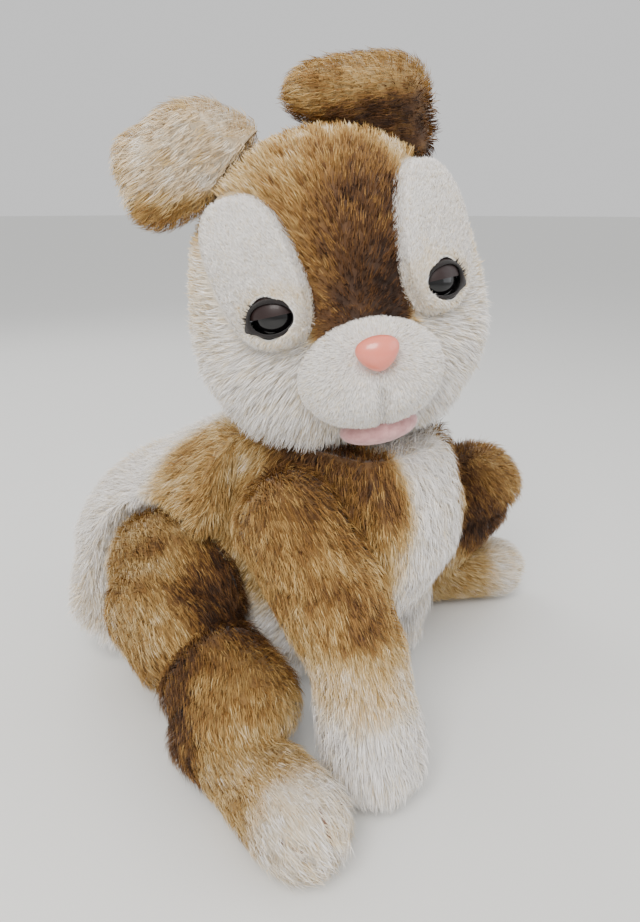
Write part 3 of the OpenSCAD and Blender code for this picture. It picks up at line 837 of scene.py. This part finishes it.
for k, s in enumerate(SIDE):
    path = FRONT[s][0]
    tip = np.array(path[-1])
    seam = toes(tip + mm(0, -27, -12), mm(0, 4, 22), (1, 0, 0), 15 * MM, mm(0, -3, 14))
    leg("front_leg", s, front_balls[s], path, front_tone(SIDE[s]), seam, [],
        lambda p: mix(11, 17, ease(p[:, 2] / MM, 100, 60)) * MM, 40 + k, 50 * MM)
    path, radii = HIND[s]
    hip, knee, heel, toe = (np.array(v) for v in path)
    out = unit(toe - heel)
    across = unit(np.cross(out, (0, 0, 1)))
    tip = toe + out * 25 * MM
    seam = toes(tip + mm(0, 0, -8), -out * 22 * MM, across, 15 * MM, mm(0, 0, 16))
    creases = [ring(mix(hip, knee, 0.52), knee - hip, radii[0] - 1 * MM),
               ring(knee + (0, -6 * MM, -26 * MM), (0, 0.45, 1), 30 * MM)]
    leg("hind_leg", s, hind_balls[s], path, hind_tone(SIDE[s], *path[1:]), seam, creases,
        lambda p: np.full(len(p), 12 * MM), 50 + k, 62 * MM)


# ---- Head ----------------------------------------------------------------------

HEAD_LESS = HEAD_R - INSET


def on_head(x, z, rise=0.0):
    """A point of the head's front surface in its own axes, lifted by rise."""
    left = 1 - (x / HEAD_R[0]) ** 2 - (z / HEAD_R[2]) ** 2
    p = np.array((x, -HEAD_R[1] * max(left, 0.01) ** 0.5, z))
    return p + unit(p / HEAD_R ** 2) * rise


def head_shape(p, n):
    q = to_head(p)
    x, y, z = q.T / MM
    # Fuller cheeks, and soft lumps
    full = ease(z, 10, -40) * ease(np.abs(x), 20, 60) * ease(y, 30, -30)
    q += unit(q) * ((full * 3 + Waves(61, 70 * MM)(q) * 1.5) * MM)[:, None]
    p = from_head(q)
    p[:, 2] = np.maximum(p[:, 2], NECK_Z + 2 * MM)
    return p


def eye_axes(s):
    """An eye's middle, the head's normal there, and the directions outwards and up."""
    at = np.array((s * EYE_X, -EYE_Y, EYE_Z))
    n = unit(on_head(s * EYE_X, EYE_Z) / HEAD_R ** 2)
    out = unit(np.cross((0, 0, 1), n)) * s
    return at, n, out, unit(np.array((0, 0, 1)) - n * n[2])


def almond(a, grow=0.0):
    """Radius of the eye's opening at angle a, or of an outline grown by some mm. In metres."""
    wide, high = 12.8 + grow, 8.4 + grow
    oval = wide * high / np.hypot(high * np.cos(a), wide * np.sin(a))
    low = np.arctan2(np.sin(a), np.abs(np.cos(a))) + 0.32
    corner = np.where(np.cos(a) > 0, 1.6, 0.2)
    return (oval + corner * grow * np.exp(-(low / 0.2) ** 2)) * MM


def socket_cutters(around=96):
    """For each eye, the ball in which the lids turn and the opening of the felt rim."""
    out = []
    for s in SIDE.values():
        at, n, across, up = eye_axes(s)
        ball_bm, plug_bm = bmesh.new(), bmesh.new()
        bmesh.ops.create_uvsphere(ball_bm, u_segments=48, v_segments=32, radius=EYE_R + 3 * MM,
                                  matrix=Matrix.Translation(from_head(at)))
        ends = []
        for depth in (4 * MM, 30 * MM):
            ends.append([])
            for a in np.linspace(0, 2 * pi, around, endpoint=False):
                q = at + (across * cos(a) + up * sin(a)) * almond(a, 1.0) + n * depth
                ends[-1].append(plug_bm.verts.new(from_head(q)))
            plug_bm.faces.new(ends[-1])
        for j in range(around):
            k = (j + 1) % around
            plug_bm.faces.new((ends[0][j], ends[0][k], ends[1][k], ends[1][j]))
        bmesh.ops.recalc_face_normals(plug_bm, faces=plug_bm.faces)
        for bm in (ball_bm, plug_bm):
            mesh = bpy.data.meshes.new("socket")
            bm.to_mesh(mesh)
            bm.free()
            mesh.materials.append(BLACK_FELT)
            out.append(new_object("socket", mesh))
    return out


def cut_sockets(o, cutters):
    for c in cutters:
        m = o.modifiers.new("socket", "BOOLEAN")
        m.operation, m.object, m.solver = "DIFFERENCE", c, "MANIFOLD"
        m.material_mode = "TRANSFER"
    settle(o)


cutters = socket_cutters()
head = stuffed("head_skin", [((0, 0, 0), tuple(HEAD_LESS), None)], 3.2 * MM, 6, head_shape, HEAD)
paint(head, head_tone)
cut_sockets(head, cutters)
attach(head, "head")
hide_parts("head_plush")

MUZZLE = np.array(mm(0, -84, -33))


def muzzle_shape(p, n):
    q = to_head(p)
    x, y, z = (q - MUZZLE).T / MM
    front = ease(y, 0, -12)
    cleft = np.exp(-(x / 3.2) ** 2) * ease(z, 2, -8) * front
    q[:, 1] += cleft * 4.5 * MM
    q[:, 1] -= front * np.exp(-((np.abs(x) - 19) / 14) ** 2) * ease(z, 14, -14) * 2.5 * MM
    return from_head(q)


muzzle = stuffed("muzzle_skin", [(tuple(MUZZLE + mm(0, 2, 0)), mm(43, 27, 31), None),
                                 (tuple(MUZZLE + mm(-15, 3, -4)), mm(25, 24, 24), None),
                                 (tuple(MUZZLE + mm(15, 3, -4)), mm(25, 24, 24), None)],
                 2.2 * MM, 8, muzzle_shape, HEAD)
white = lambda p: 0.15 + 0.15 * mid(p)
finish_skin(muzzle, "head", ["muzzle_plush"], white)


NOSE = mm(0, -110, -16)    # the middle of the nose, from the head's


def nose_shape(p, n):
    """Wider at the top than at the bottom."""
    q = to_head(p)
    c = np.array(NOSE)
    x, _, z = (q - c).T
    q[:, 0] = c[0] + x * (1 + 0.32 * np.clip(z / (10 * MM), -1, 1))
    return from_head(q)


nose = stuffed("nose_button", [(NOSE, mm(12, 8, 10), None)], 1.1 * MM, 6,
               nose_shape, HEAD)
nose.data.materials.append(FINISHES["nose_plastic"])
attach(nose, "head")
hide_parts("nose")

mouth = stuffed("mouth_lip", [(mm(0, -78, -68), mm(25, 15, 10), None)], 1.8 * MM, 6, None, HEAD)
mouth.data.materials.append(PINK_FELT)
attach(mouth, "head")
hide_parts("mouth_felt")


# Eye rims: a narrow ring of dark felt with pointed outer corners, and a few short lashes
PATCH_RISE = 2.4    # mm the eye patches stand off the head


def eye_mound(u, v):
    """How far the patch stands off the head, in mm, at u across and v up from an eye, in mm."""
    return PATCH_RISE + 5.2 * np.exp(-(u / 16) ** 2 - (v / 16) ** 2)


def eye_clear(p):
    """True for points outside both felt rims and off the walls of the sockets."""
    q = to_head(p)
    q[:, 0] = np.abs(q[:, 0])
    at, _, across, up = eye_axes(1)
    d = q - at
    u, v = d @ across, d @ up
    off_wall = np.linalg.norm(d, axis=1) > EYE_R + 3.4 * MM
    return off_wall & (np.hypot(u, v) > almond(np.arctan2(v, u), 1.9))


def rim_point(s, a, grow, over_lid, over_patch):
    """A point of the rim: over_lid mm outside the lids' path and over_patch mm above the patch."""
    at, n, across, up = eye_axes(s)
    d = across * cos(a) + up * sin(a)
    r = almond(a, grow)
    base = on_surface(at + d * r + n * 12 * MM)
    patch = (base - at) @ n + eye_mound(r * cos(a) / MM, r * sin(a) / MM) * MM
    lid = sqrt(max((EYE_R + 2.8 * MM) ** 2 - r ** 2, 0))
    return at + d * r + n * max(lid + over_lid * MM, patch + over_patch * MM)


def eye_rim(name, s, around=120):
    """A narrow felt rim that hugs the eye."""
    bm = bmesh.new()
    section = ((0, 0, -1), (0.3, 0.9, 0.9), (1.3, 1.2, 1.2), (2.4, 0.7, 0.7), (2.4, 0, -3))
    rows = []
    for j in range(around):
        rows.append([bm.verts.new(rim_point(s, 2 * pi * j / around, *g)) for g in section])
    for a, b in zip(rows, rows[1:] + rows[:1]):
        for i in range(len(section)):
            k = (i + 1) % len(section)
            bm.faces.new((a[i], a[k], b[k], b[i]))
    bmesh.ops.recalc_face_normals(bm, faces=bm.faces)
    mesh = bpy.data.meshes.new(name)
    bm.to_mesh(mesh)
    bm.free()
    mesh.transform(HEAD)
    mesh.shade_smooth()
    o = new_object(name, mesh)
    o.data.materials.append(RIM_FELT)
    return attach(o, "head")


def on_surface(p):
    """The point of the head's ellipsoid under p."""
    return p / np.sqrt(((p / HEAD_R) ** 2).sum())


def lashes(name, s):
    """Short spikes above the outer corner."""
    _, n, across, up = eye_axes(s)
    rng = np.random.default_rng(SEED + 5)
    v = []
    for a in rng.uniform(-0.1, 0.75, 12):
        root = rim_point(s, a, 1.4, 0.6, 0.6)
        go = unit(across * cos(a) + up * (sin(a) + 0.4) + n * 0.3)
        w = unit(np.cross(go, n)) * 0.6 * MM
        tip = root + go * rng.uniform(2.2, 4.2) * MM
        m = mix(root, tip, 0.5)
        v.append((root - w / 2, root + w / 2, m - w * 0.4, m + w * 0.4, tip))
    v = np.array(v)
    o = blades(name, from_head(v.reshape(-1, 3)).reshape(v.shape), np.zeros((len(v), 2), np.int32))
    o.data.materials.append(RIM_FELT)
    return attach(o, "head")


# Eye patches: a short-pile oval sewn on round each eye
PATCH_X, PATCH_Z, PATCH_A, PATCH_B, PATCH_TILT = 54, 34, 25, 45, 9


def patch_place(s, r, a):
    """Head x and z of a patch point: r from 0 to 1, a the angle. Squarer than an ellipse."""
    c, n = cos(a), sin(a)
    k = 1 / (abs(c) ** 2.6 + abs(n) ** 2.6) ** (1 / 2.6)
    u, v = PATCH_A * r * k * c, PATCH_B * r * k * n
    t = radians(PATCH_TILT)
    return s * (PATCH_X + u * cos(t) + v * sin(t)), PATCH_Z + v * cos(t) - u * sin(t)


def in_patch(q, grow=0.0):
    """True where a head-frame point lies over either patch, grown by a share."""
    x, y, z = q.T / MM
    t = radians(PATCH_TILT)
    u0, v0 = np.abs(x) - PATCH_X, z - PATCH_Z
    u, v = u0 * cos(t) - v0 * sin(t), v0 * cos(t) + u0 * sin(t)
    r = (np.abs(u / PATCH_A) ** 2.6 + np.abs(v / PATCH_B) ** 2.6) ** (1 / 2.6)
    return (r < 1 + grow) & (y < 0)


def patch_mesh(name, s, rings=26, around=96):
    bm = bmesh.new()
    rows = []
    for i in range(rings + 1):
        r = i / rings
        edge = mix(PATCH_RISE, -5.5, float(ease(np.array(r), 0.84, 1.0))) * MM
        row = []
        for j in range(around if i else 1):
            x, z = patch_place(s, r, 2 * pi * j / around)
            rise = edge + (eye_mound(s * x - EYE_X / MM, z - EYE_Z / MM) - PATCH_RISE) * MM
            row.append(bm.verts.new(on_head(x * MM, z * MM, rise)))
        rows.append(row)
    x, z = patch_place(s, 0, 0)
    back = bm.verts.new(on_head(x * MM, z * MM, -22 * MM))
    for j in range(around):
        k = (j + 1) % around
        bm.faces.new((rows[0][0], rows[1][j], rows[1][k]))
        bm.faces.new((back, rows[-1][k], rows[-1][j]))
        for a, b in zip(rows[1:], rows[2:]):
            bm.faces.new((a[j], b[j], b[k], a[k]))
    bmesh.ops.recalc_face_normals(bm, faces=bm.faces)
    mesh = bpy.data.meshes.new(name)
    bm.to_mesh(mesh)
    bm.free()
    mesh.transform(HEAD)
    mesh.shade_smooth()
    return new_object(name, mesh)


def patch_tone(p):
    q = to_head(p)
    x, _, z = q.T / MM
    d = np.hypot((np.abs(x) - 46) / 1.15, z - 9)
    # Painted shade: a faint cream ring round each eye
    return 0.1 + 0.15 * mid(p) + 0.9 * ease(d, 24, 15)


def patch_flow(p):
    q = to_head(p)
    f = np.stack([np.sign(q[:, 0]) * 0.5, np.full(len(q), 0.2), np.full(len(q), 1.0)], 1)
    down = ease(q[:, 2] / MM, 8, -2)[:, None]
    f = mix(f, np.stack([np.sign(q[:, 0]) * 0.7, 0 * q[:, 1], np.full(len(q), -1.0)], 1), down)
    return f @ HEAD_NP[:3, :3].T


for k, (side, s) in enumerate(SIDE.items()):
    o = patch_mesh(f"eye_patch_{side}_skin", s)
    paint(o, patch_tone)
    cut_sockets(o, cutters)
    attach(o, "head")
    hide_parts(f"eye_patch_{side}")
    f = fur(f"fur_eye_patch_{side}", o, 2.6, lambda p: np.full(len(p), 3.0 * MM), patch_flow,
            patch_tone, eye_clear, lean=(35, 62), width=0.34 * MM,
            clump=2.5 * MM, pull=0.2, seed=70 + k)
    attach(f, "head")
for c in cutters:
    bpy.data.objects.remove(c)


for side, s in SIDE.items():
    eye_rim(f"eye_rim_{side}", s)
    lashes(f"lashes_{side}", s)


def head_length(p):
    q = to_head(p)
    x, y, z = q.T / MM
    ln = mix(9.5, 13.5, ease(z, 15, -35) * ease(np.abs(x), 15, 50))
    ln = mix(ln, 6, ease(y, -66, -84) * ease(z, 30, 5))
    return ln * MM


def head_keep(p):
    q = to_head(p)
    muzzle_gap = (q - MUZZLE) / (np.array((46, 30, 34)) * MM) * 1.06
    near_muzzle = (muzzle_gap ** 2).sum(1) < 1
    return ~in_patch(q, -0.02) & ~near_muzzle & (p[:, 2] > NECK_Z + 4 * MM) & eye_clear(p)


o = fur("fur_head", head, 0.5, head_length, head_flow, head_tone, head_keep, seed=80)
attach(o, "head")


def muzzle_keep(p):
    q = to_head(p)
    n = (q - np.array(NOSE)) / np.array(mm(12, 12, 10))
    deep = ((q / (HEAD_R - 9 * MM)) ** 2).sum(1) < 1
    return ((n ** 2).sum(1) > 1) & ~deep


def muzzle_flow(p):
    q = to_head(p)
    f = unit(q - np.array(mm(0, -112, -12))) + np.array((0, 0.3, -0.35))
    return f @ HEAD_NP[:3, :3].T


o = fur("fur_muzzle", muzzle, 2.4, lambda p: np.full(len(p), 3.4 * MM), muzzle_flow, white,
        muzzle_keep, lean=(35, 62), width=0.34 * MM, clump=2.5 * MM, pull=0.2, seed=81)
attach(o, "head")


# ---- Ears ----------------------------------------------------------------------

EAR_AXIS = {side: np.array(mm(66 * s, 8, 89)) for side, s in SIDE.items()}
EARS = {
    "right": [(mm(-44, 4, 106), mm(18, 16, 9), None), (mm(-68, 6, 122), mm(20, 20, 10), None),
              (mm(-98, 8, 104), mm(18, 20, 18), None), (mm(-100, 6, 84), mm(13, 16, 16), None),
              (tuple(EAR_AXIS["right"]), mm(16, 16, 16), None)],
    "left": [(mm(51, 14, 119), mm(32, 25, 19), None), (mm(21, 16, 126), mm(25, 23, 15), None),
             (tuple(EAR_AXIS["left"]), mm(16, 16, 16), None)],
}
# Angles of the ear's travel at which it has to clear the head, degrees
EAR_LIFTS = {"right": (-8, -2, 4, 10), "left": (0, 12, 24)}


def ear_shape(side):
    """Soft lumps, then the underside pressed out of the head's way."""
    def shape(p, n):
        q = p + n * (Waves(91, 40 * MM)(p) * 1.4 * MM)[:, None]
        clear = HEAD_R - 4 * MM
        for lift in EAR_LIFTS[side]:
            turn = np.array(Matrix.Rotation(radians(lift), 3, "Y"))
            r = (q - EAR_AXIS[side]) @ turn.T + EAR_AXIS[side]
            deep = np.sqrt(((r / clear) ** 2).sum(1))
            r = np.where((deep < 1)[:, None], r / np.maximum(deep, 0.2)[:, None], r)
            q = (r - EAR_AXIS[side]) @ turn + EAR_AXIS[side]
        return q
    return shape


def ear_flow(side):
    out = np.array((SIDE[side], 0, -0.35)) if side == "right" else np.array((-1, 0, 0.1))

    def flow(p):
        return np.tile(out @ HEAD_NP[:3, :3].T, (len(p), 1))
    return flow


for side in SIDE:
    # Both ears darken below a height: painted shade on their undersides
    tone = ear_tone(1.7, 2.4, 70, 92) if side == "right" else ear_tone(3.2, 2.2, 108, 124)
    o = hulled(f"ear_{side}_skin", EARS[side], 2.4 * MM, 8, ear_shape(side))
    o.data.transform(HEAD)
    finish_skin(o, f"ear_{side}", [f"ear_{side}_plush"], tone)
    f = fur(f"fur_ear_{side}", o, 0.6, lambda p: np.full(len(p), 10 * MM), ear_flow(side), tone,
            seed=90 + SIDE[side], tip_tone=0.3 if side == "right" else 0.9)
    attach(f, f"ear_{side}")


# ---- Camera, floor and light -----------------------------------------------------

def stage_scene():
    scene = bpy.context.scene
    cam = bpy.data.objects.new("camera", bpy.data.cameras.new("camera"))
    cam.location = (-0.3817, -0.3936, 0.375)
    cam.rotation_euler = (radians(70), 0, radians(-52))
    cam.data.lens = 27
    scene.collection.objects.link(cam)
    scene.camera = cam
    bm = bmesh.new()
    bmesh.ops.create_grid(bm, x_segments=1, y_segments=1, size=40)
    mesh = bpy.data.meshes.new("floor")
    bm.to_mesh(mesh)
    bm.free()
    floor = new_object("floor", mesh)
    pale = plain_material("pale_floor", srgb(0.90, 0.90, 0.89), 0.6)
    add_noise_bump(pale, 30, 0.1, 1 * MM)
    mesh.materials.append(pale)
    world = scene.world or bpy.data.worlds.new("world")
    scene.world = world
    world.use_nodes = True
    world.node_tree.nodes["Background"].inputs["Color"].default_value = srgb(0.95, 0.95, 0.95)
    world.node_tree.nodes["Background"].inputs["Strength"].default_value = 0.95
    for name, at, size, power, color in (
            ("key", (-1.1, -0.6, 1.5), 0.9, 34, (1, 0.97, 0.93)),
            ("fill", (0.7, -1.5, 0.9), 1.4, 9, (0.95, 0.97, 1)),
            ("back", (0.5, 1.4, 1.3), 1.0, 9, (1, 1, 1))):
        data = bpy.data.lights.new(name, "AREA")
        data.size, data.energy, data.color = size, power, color
        lamp = bpy.data.objects.new(name, data)
        lamp.location = at
        aim = Vector((0, -0.05, 0.2)) - Vector(at)
        lamp.rotation_euler = aim.to_track_quat("-Z", "Y").to_euler()
        scene.collection.objects.link(lamp)


stage_scene()
